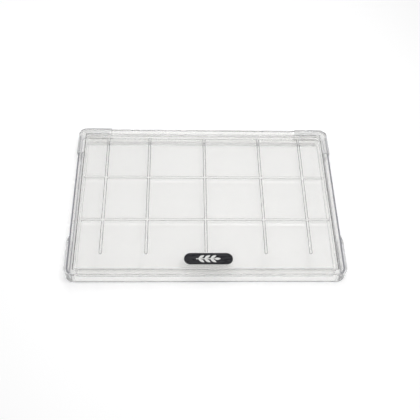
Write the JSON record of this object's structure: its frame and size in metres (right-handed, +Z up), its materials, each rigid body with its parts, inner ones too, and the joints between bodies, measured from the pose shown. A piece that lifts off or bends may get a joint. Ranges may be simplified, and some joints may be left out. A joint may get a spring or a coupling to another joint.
{
  "type": "humidity dome tray",
  "caption": "Shallow clear rectangular tray with a low lift-off lid that has a sunk ribbed panel, a raised rim, corner guards and a small pill badge.",
  "frame": {"origin": "on the resting surface, under the centre of the overall box", "axes": "+X to the right along the long side, +Y to the back, away from the badge, +Z up"},
  "size_m": [0.3052, 0.2012, 0.0188],
  "materials": {
    "clear_tray": "clear moulded polystyrene, polished",
    "clear_lid": "clear moulded polystyrene, polished",
    "clear_guard": "clear moulded polystyrene, polished",
    "badge_white": "white gloss",
    "badge_black": "black gloss film"
  },
  "bodies": {
    "tray": {"tray": "clear_tray"},
    "lid": {"lid": "clear_lid", "front_left_guard": "clear_guard", "front_right_guard": "clear_guard", "rear_left_guard": "clear_guard", "rear_right_guard": "clear_guard", "badge_plate": "badge_white", "badge_inlay": "badge_black"}
  },
  "joints": [
    {"name": "lid_lift", "type": "slide", "parent": "tray", "child": "lid", "axis": [0, 0, 1], "range_m": [0, 0.06]}
  ]
}
